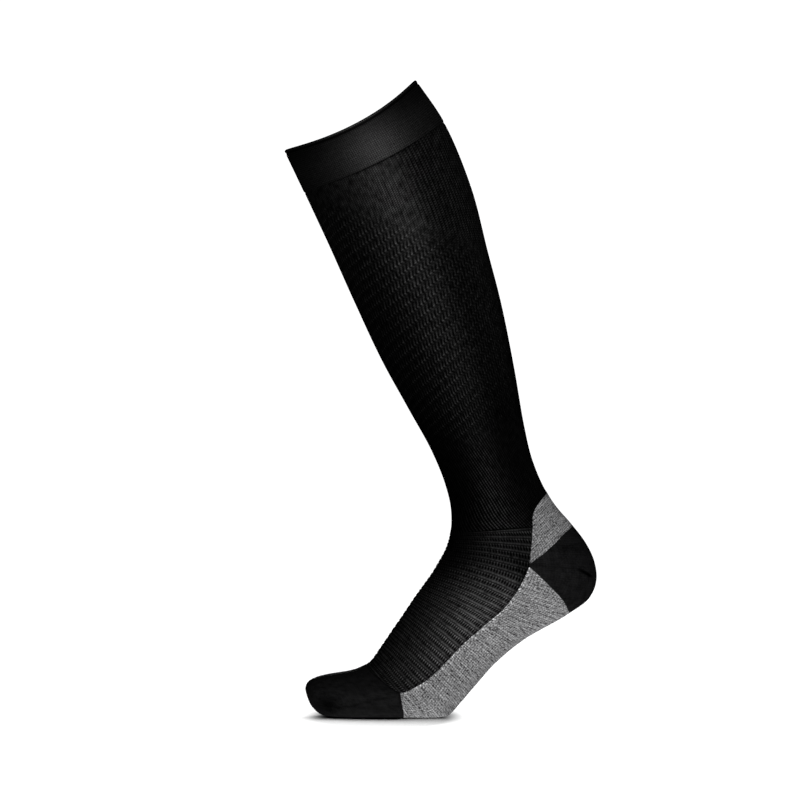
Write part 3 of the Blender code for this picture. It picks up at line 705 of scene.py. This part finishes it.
def mesh_group():
    """Rows of small holes. A row has a line of holes, a raised line, a line of finer holes and a raised line
    of dots, each a hump of the row count. Dots and the bars between holes are humps of the wale count. The
    raised lines and dots are painted highlight, and the holes painted shade."""
    tree, given = new_group("mesh_rows", {"Place": None}, ["Shade"])
    loose = noise(tree, given.outputs["Place"], (0.2, 0.7, 1.0), 1.0)
    wale, row = split(tree, given.outputs["Place"])
    row = calc(tree, "ADD", row, calc(tree, "MULTIPLY_ADD", loose, 0.2, -0.1))
    dots, bars = hump(tree, wale, 0.0, 1.5), hump(tree, wale, 0.5, 1.5)
    barred = calc(tree, "MULTIPLY_ADD", bars, 2.6, 0.1)
    raised = calc(tree, "MULTIPLY", hump(tree, row, RAISED_AT, 5.0), barred)
    beaded = calc(tree, "MULTIPLY_ADD", dots, 2.6, 0.3)
    dotted = calc(tree, "MULTIPLY", hump(tree, row, DOTTED_AT, 5.0), beaded)
    lines = calc(tree, "ADD", calc(tree, "ADD", raised, dotted), calc(tree, "MULTIPLY_ADD", dots, 1.6, 0.15))
    hole = calc(tree, "MULTIPLY", hump(tree, row, HOLES_AT, 5.0), calc(tree, "MULTIPLY_ADD", dots, -0.9, 1.0))
    bared = calc(tree, "MULTIPLY_ADD", bars, -0.8, 0.8)
    groove = calc(tree, "MULTIPLY", hump(tree, row, FINE_HOLES_AT, 9.0), bared)
    open_part = calc(tree, "MULTIPLY", calc(tree, "SUBTRACT", 1.0, hole), calc(tree, "SUBTRACT", 1.0, groove))
    close_group(tree, Shade=calc(tree, "MULTIPLY", lines, open_part))
    return tree


MESH_ROWS = mesh_group()


def instep_shade(tree, place):
    """Rows of holes, darker where the knit is close at the ankle, times painted light and with painted shade
    at the toe, over the top, along the sole and in front of the heel's point.
    """
    rows = use_group(tree, MESH_ROWS, place)
    return calc(tree, "MULTIPLY", rows.outputs["Shade"], mark(tree, "stretch_and_light"))


def sunk(line, places, width):
    """A soft trough along a line of (x, z, depth), as seen from the side: a bell curve of the distance to the
    line, as deep as the line's nearest point."""
    line = np.array(line)
    knots = np.concatenate([[0.0], np.cumsum(np.linalg.norm(np.diff(line[:, :2], axis=0), axis=1))])
    curve = smooth_curve(np.linspace(0, knots[-1], 61), knots, line)
    distance = np.linalg.norm(places[..., None, (0, 2)] - curve[:, :2], axis=-1)
    return curve[distance.argmin(axis=-1), 2] * bell(distance.min(axis=-1), 0.0, width)


sole_top = border(SOLE_TOP)
right = joined(border(SPLICE_FRONT)[::-1], sole_top)
left = right * (1, -1)
toe_top = border(TOE_TOP, start=0)
places = blended(joined(left[:1], right[:1]), joined(mirrored(toe_top, 0), toe_top), left, right)
down, around = evened(places[..., 0], places[..., 1], 361, 1)
down, around = evened(down, around, 241, 0)
rows, dots = mesh_row(course_down(down, around)), around * FOOT_WALES / 2
dotted = rounded_ridge(rows - DOTTED_AT, 5.0) * (0.4 + 0.6 * rounded_ridge(dots, 1.0))
holes = HOLE_DEPTH * rounded_ridge(rows - HOLES_AT, 4.0) * (1 - 0.5 * rounded_ridge(dots, 1.0))
height = ROW_RISE * (rounded_ridge(rows - RAISED_AT, 5.0) + dotted) - holes - 0.1
base = worn(down, around)
# Painted shade along the toe's border, over the top of the foot, along the sole's border and in front of the
# heel's point.
painted_shade_at_toe = sunk([(x, z, 0.8 - 0.016 * x) for x, z in TOE_TOP], base, 7.0)
painted_shade_in_front = 0.6 * bell(around, 0.0, 0.22)
painted_shade_at_sole = sunk([(x, z, 0.5) for x, z in SOLE_TOP], base, 3.0)
drawn = stretch_and_light(down) * (1 - painted_shade_at_toe) * (1 - painted_shade_in_front) * (1 - painted_shade_at_sole)
drawn = drawn * (1 - sunk(HEEL_CORNER, base, 17.0))
instep = knit_wall(
    "instep_knit", down, around, height, LEG_WALL, (dots, rows), (31, 61), marks={"stretch_and_light": drawn},
)
instep_yarn = yarn_material(
    "instep_yarn", (0.0005, 0.0005, 0.0005), streaks=0.6, flecks=1.0, blotches=0.3, shade_of=instep_shade,
    gloss=0.35,
)
instep.data.materials.append(instep_yarn)
dressed(instep, "instep")


# ---------------------------------------------------------------- High splice
# The grey reinforcement over the tendon, above the heel: mixed light and dark grey yarn in plain knit. It
# comes to a point on each side at the heel's corner.

HEEL_TOP = [(142.5, -358.5), (151.0, -352.5), (160.0, -345.0), (168.5, -336.5), (176.5, -327.0)]
GREY_COURSE = 1.6  # height of a course, in mm
DENSE_WALL = 2.0  # of the high splice, the heel and the toe, in mm
POINT_WIDTH = 0.8  # where a zone over the back is narrower than this, in mm, it ends
GREY = (0.102, 0.102, 0.1035)


def over_the_back(places):
    """A border on the +Y side that ends on the back line, carried on over it to the -Y side."""
    return joined(places, mirrored(places, 1))


def lens(upper, lower, rows, columns):
    """A grid of places between two borders that go over the back and meet on each side."""
    share = np.linspace(0, 1, FINE)[:, None, None]
    places = over_the_back(upper) + (over_the_back(lower) - over_the_back(upper)) * share
    length = np.linalg.norm(np.diff(worn(places[..., 0], places[..., 1]), axis=0), axis=-1).sum(axis=0)
    wide = np.flatnonzero(length > POINT_WIDTH)
    places = places[:, wide[0] : wide[-1] + 1]
    down, around = evened(places[..., 0], places[..., 1], columns, 1)
    return evened(down, around, rows, 0)


def puffed(down, around, amount):
    """Slight unevenness of a soft, thick knit: a sum of three slow sine waves over the face."""
    waves = ((3.7, 2, 0), (6.1, -3, 1), (9.0, 4, 2))  # length down in mm, turns round, start
    total = sum(np.sin(down / long + np.pi * turns * around + begin) for long, turns, begin in waves)
    return amount * total / 3


heel_top = border(HEEL_TOP, end=1)
down, around = lens(joined(border(SPLICE_FRONT), above_splice), heel_top, 61, 181)
height = 0.12 + puffed(down, around, 0.12)
seen = worn(down, around)
climb = seen[..., 2] * 0.735 - seen[..., 0] * 0.68  # across the heel's upper border, which the courses follow
# The sunk mark here is painted shade in front of the heel's point; the knit is not sunk there.
high_splice = knit_wall(
    "high_splice_knit", down, around, height, DENSE_WALL, (around * FOOT_WALES / 2, climb / GREY_COURSE),
    (11, 37), marks={"sunk": sunk(HEEL_CORNER, seen, 22.0)},
)


def grey_shade(tree, place):
    """Plain knit, the stitches' painted shadows softened by the light yarn, with light specks of it on the
    edge, and painted shade in front of the heel's point where the sunk mark is set.
    """
    loops = use_group(tree, PLAIN, place, Groove=0.7).outputs["Shade"]
    specks = ramp(tree, noise(tree, place, (1.3, 1.0, 1.0), 0.0), 0.5, 0.66, 0.0, 3.5)
    plain = calc(tree, "MULTIPLY_ADD", loops, 1.3, 0.6)
    plain = calc(tree, "MULTIPLY", plain, calc(tree, "MULTIPLY_ADD", mark(tree, "sunk"), -0.6, 1.0))
    return calc(tree, "MULTIPLY_ADD", specks, mark(tree, "on_edge"), plain)


grey_yarn = yarn_material(
    "grey_yarn", GREY, streaks=1.3, flecks=1.6, blotches=0.1, shade_of=grey_shade, gloss=0.02, depth=0.2,
)
high_splice.data.materials.append(grey_yarn)
dressed(high_splice, "high_splice")


# ---------------------------------------------------------------- Heel
# The turned heel pocket, in a dense, plain black knit. A fine line runs from the point on each side to
# the back, where the pocket's two halves meet, and ends there in a short crease.

HEEL_UNDER = [
    (142.5, -360.5), (153.5, -370.5), (164.0, -381.0), (170.0, -388.0), (173.0, -393.5), (174.5, -399.5),
]
heel_under = border(HEEL_UNDER, end=1)
down, around = lens(heel_top, heel_under, 81, 241)
HEEL_LINE = [
    (144.0, -358.8, 0.2), (152.0, -359.4, 0.2), (160.0, -360.8, 0.2), (172.0, -361.4, 0.15),
    (180.0, -362.2, 0.3), (186.0, -364.4, 1.0), (191.0, -367.4, 1.3), (194.0, -369.4, 0.2),
]
HEEL_DENT = [(167.0, -345.5, 0.3), (184.0, -347.5, 0.3)]

base = worn(down, around)
height = 0.1 + puffed(down, around, 0.08) - sunk(HEEL_LINE, base, 1.0) - sunk(HEEL_DENT, base, 3.0)
# The sunk mark paints shade into the fine line, the crease and the dent.
heel = knit_wall(
    "heel_knit", down, around, height, DENSE_WALL, (around * FOOT_WALES / 2, down / GREY_COURSE), (17, 49),
    marks={"sunk": sunk(HEEL_LINE, base, 1.1) + sunk(HEEL_DENT, base, 3.0)},
)


def plain_shade(tree, place):
    """Dense plain knit, with painted highlight on its loops and painted shade along the sunk lines and
    places.
    """
    loops = use_group(tree, PLAIN, place, Groove=0.5).outputs["Shade"]
    hidden = calc(tree, "SUBTRACT", 1.0, calc(tree, "MINIMUM", mark(tree, "sunk"), 0.9))
    return calc(tree, "MULTIPLY", calc(tree, "MULTIPLY_ADD", loops, 0.5, 0.8), hidden)


plain_black = yarn_material(
    "plain_black_yarn", (0.003, 0.003, 0.0031), streaks=0.3, flecks=0.6, blotches=0.8, shade_of=plain_shade,
    gloss=0.03,
)
heel.data.materials.append(plain_black)
dressed(heel, "heel")


# ---------------------------------------------------------------- Sole
# The underside of the foot, in the same mixed grey yarn over a cushioning terry inside. It meets the
# instep along each side.

SOLE_WALL = 2.2  # in mm
TOE_UNDER = [(40.0, -460.0), (41.5, -468.5), (43.0, -477.0), (44.0, -484.5)]
toe_under = border(TOE_UNDER, end=1)
right = joined(sole_top)
places = blended(over_the_back(heel_under), over_the_back(toe_under), right, right * (1, -1) + (0, 2))
down, around = evened(places[..., 0], places[..., 1], 281, 1)
down, around = evened(down, around, 201, 0)
height = 0.1 + puffed(down, around, 0.1)
hanging = 8 * (1 - np.cos(np.pi * around))  # of the courses, down under the foot
stitches = (around * FOOT_WALES / 2, (down - hanging) / GREY_COURSE)
on_edge = sunk([(x, z, 1.0) for x, z in SOLE_TOP], worn(down, around), 2.2)
sole = knit_wall(
    "sole_knit", down, around, height, SOLE_WALL, stitches, (21, 41), marks={"on_edge": on_edge},
)
sole.data.materials.append(grey_yarn)
dressed(sole, "sole")


# ---------------------------------------------------------------- Toe
# The closed toe pocket, in the same plain black knit as the heel. A shallow line runs along each side
# where it was turned, and the knit sinks a little behind the toe tips.

TOE_LINE = [
    (36.8, -462.4, 0.2), (20.0, -465.6, 0.4), (7.2, -468.8, 0.4), (-1.6, -471.2, 0.3), (-12.0, -472.0, 0.1),
]
TOE_SINK = (-18.5, -470.5)  # middle of the sunken place

places = np.vstack([toe_top, toe_under])
around = np.linspace(-1, 1, 281)[None]
start = np.interp(np.abs(around), places[:, 1], places[:, 0])
share = np.sin(np.linspace(0, 1, 111) * np.pi / 2)[:, None]
down = start + (DOWN[-1] - start) * share
around = around + 0 * down
base = worn(down, around)
sink = bell(base[..., 0], TOE_SINK[0], 9.0) * bell(base[..., 2], TOE_SINK[1], 7.5)
below_edge = bell(down, start, 1.6) * (np.abs(around) < 0.55)
turned = sunk(TOE_LINE, base, 0.8)
height = 0.1 + puffed(down, around, 0.07) - 0.8 * turned
height = (height - 1.7 * sink - 0.35 * below_edge) * (1 - rise(share, 0.97, 1.0)) + 0 * down
# The sunk mark paints shade into the turned line, behind the toe tips and below the toe's edge.
toe = knit_wall(
    "toe_knit", down, around, height, DENSE_WALL, (around * FOOT_WALES / 2, down / GREY_COURSE), (15, 57),
    marks={"sunk": turned + 0.75 * sink + 0.5 * below_edge}, closed=True, tip=True,
)
toe.data.materials.append(plain_black)
dressed(toe, "toe")


# ---------------------------------------------------------------- Studio
# A pale floor that runs out of the picture, with a painted shadow only round the forefoot, soft light from
# the camera's side, weak light from behind and above, and a long lens level with the middle of the sock.

CAMERA_DISTANCE = 4.5
FIELD = 0.64  # width of the picture at the sock's middle, in metres
LOOKS_AT = (0.040, 0.0, -0.228)
SHADOW_MIDDLE = (0.028, -0.01, -FLOOR_BELOW * MM)  # of the ellipse that the forefoot's painted shadow stays in
SHADOW_PER_METRE = (16.0, 6.0, 1.0)  # one over the ellipse's half lengths

floor_mesh = bpy.data.meshes.new("floor")
ring = np.linspace(0, 2 * np.pi, 64, endpoint=False)
disc = np.stack([3 * np.cos(ring), 3 * np.sin(ring), np.full(64, -FLOOR_BELOW * MM - 0.0002)], axis=1)
floor_mesh.from_pydata(disc.tolist(), [], [list(range(64))])
floor = bpy.data.objects.new("floor", floor_mesh)
bpy.context.scene.collection.objects.link(floor)
floor_white = bpy.data.materials.new("floor_white")
floor_white.use_nodes = True
tree = floor_white.node_tree
# Painted shadow: the occlusion near the sock, to the fourth power, kept inside an ellipse round the forefoot.
painted_shadow = add(tree, "ShaderNodeAmbientOcclusion", {"Distance": 0.18}, output=1)
painted_shadow = calc(tree, "POWER", painted_shadow, 4.0)
place = add(tree, "ShaderNodeTexCoord", output=3)
place = add(tree, "ShaderNodeVectorMath", {0: place, 1: SHADOW_MIDDLE}, operation="SUBTRACT")
place = drawn_out(tree, place, SHADOW_PER_METRE)
away = add(tree, "ShaderNodeVectorMath", {0: place}, output=1, operation="LENGTH")
painted_shadow = calc(tree, "MAXIMUM", painted_shadow, ramp(tree, away, 0.7, 1.1, kind="SMOOTHSTEP"))
seen = add(tree, "ShaderNodeLightPath", output=0)
white = ramp(tree, seen, 0.0, 1.0, 0.005, 0.9)  # almost none of its light falls back on the sock
floor_shader = tree.nodes["Principled BSDF"]
tree.links.new(calc(tree, "MULTIPLY", white, painted_shadow), floor_shader.inputs["Base Color"])
floor_shader.inputs["Roughness"].default_value = 1.0
floor_shader.inputs["Specular IOR Level"].default_value = 0.0
floor_mesh.materials.append(floor_white)

camera_data = bpy.data.cameras.new("camera")
camera_data.sensor_width = 36
camera_data.lens = camera_data.sensor_width * CAMERA_DISTANCE / FIELD
camera_data.clip_end = 50
camera = bpy.data.objects.new("camera", camera_data)
camera.location = (LOOKS_AT[0], -CAMERA_DISTANCE, LOOKS_AT[2])
camera.rotation_euler = (np.pi / 2, 0, 0)
bpy.context.scene.collection.objects.link(camera)
bpy.context.scene.camera = camera

world = bpy.data.worlds.new("studio")
world.use_nodes = True
bpy.context.scene.world = world
sky = world.node_tree
for old in list(sky.nodes):
    sky.nodes.remove(old)
is_camera = add(sky, "ShaderNodeLightPath", output=0)
strength = calc(sky, "MULTIPLY_ADD", is_camera, 1.095, 0.005)
background = sky.nodes.new("ShaderNodeBackground")
background.inputs["Color"].default_value = (1, 1, 1, 1)
sky.links.new(strength, background.inputs["Strength"])
sky.links.new(background.outputs[0], sky.nodes.new("ShaderNodeOutputWorld").inputs[0])


def lit(name, *pieces):
    """The pieces that a light shines on."""
    group = bpy.data.collections.new(name)
    for piece in pieces:
        group.objects.link(piece)
    return group


def sun(name, towards, strength, softness, receivers, blockers=None):
    """A soft distant light that shines along the given direction on the receivers, and is held up by the
    blockers alone if they are named."""
    data = bpy.data.lights.new(name, "SUN")
    data.energy = strength
    data.angle = np.radians(softness)
    light = bpy.data.objects.new(name, data)
    x, y, z = towards
    light.rotation_euler = (np.arctan2(np.hypot(x, y), -z), 0, np.arctan2(y, x) - np.pi / 2)
    bpy.context.scene.collection.objects.link(light)
    light.light_linking.receiver_collection = receivers
    if blockers:
        light.light_linking.blocker_collection = blockers


sock_only = lit("sock", leg, cuff, instep, high_splice, heel, sole, toe)
dense_only = lit("dense_zones", high_splice, heel, sole, toe)
floor_only = lit("floor_only", floor)
on_floor = lit("on_floor", toe)

# Each light's direction, strength and softness in degrees. The two glows shine on the dense zones alone, in
# place of light thrown back by the floor and the room, and the last light is the floor's.
sun("key", (-0.05, 1.0, -0.05), 4.2, 5, sock_only)
sun("back_light", (0.0, -1.0, -0.1), 2.6, 10, sock_only)
sun("floor_glow", (0.0, 0.05, 1.0), 6.0, 70, dense_only, sock_only)
sun("side_glow", (-1.0, 0.7, -0.6), 0.8, 90, dense_only, sock_only)
sun("behind", (-1.0, 0.1, -0.3), 0.15, 20, sock_only)
sun("above", (0.1, -0.4, -1.0), 0.3, 20, sock_only)
sun("floor_light", (0.45, -1.3, -0.5), 11, 85, floor_only, on_floor)
bpy.context.scene.view_settings.view_transform = "Standard"
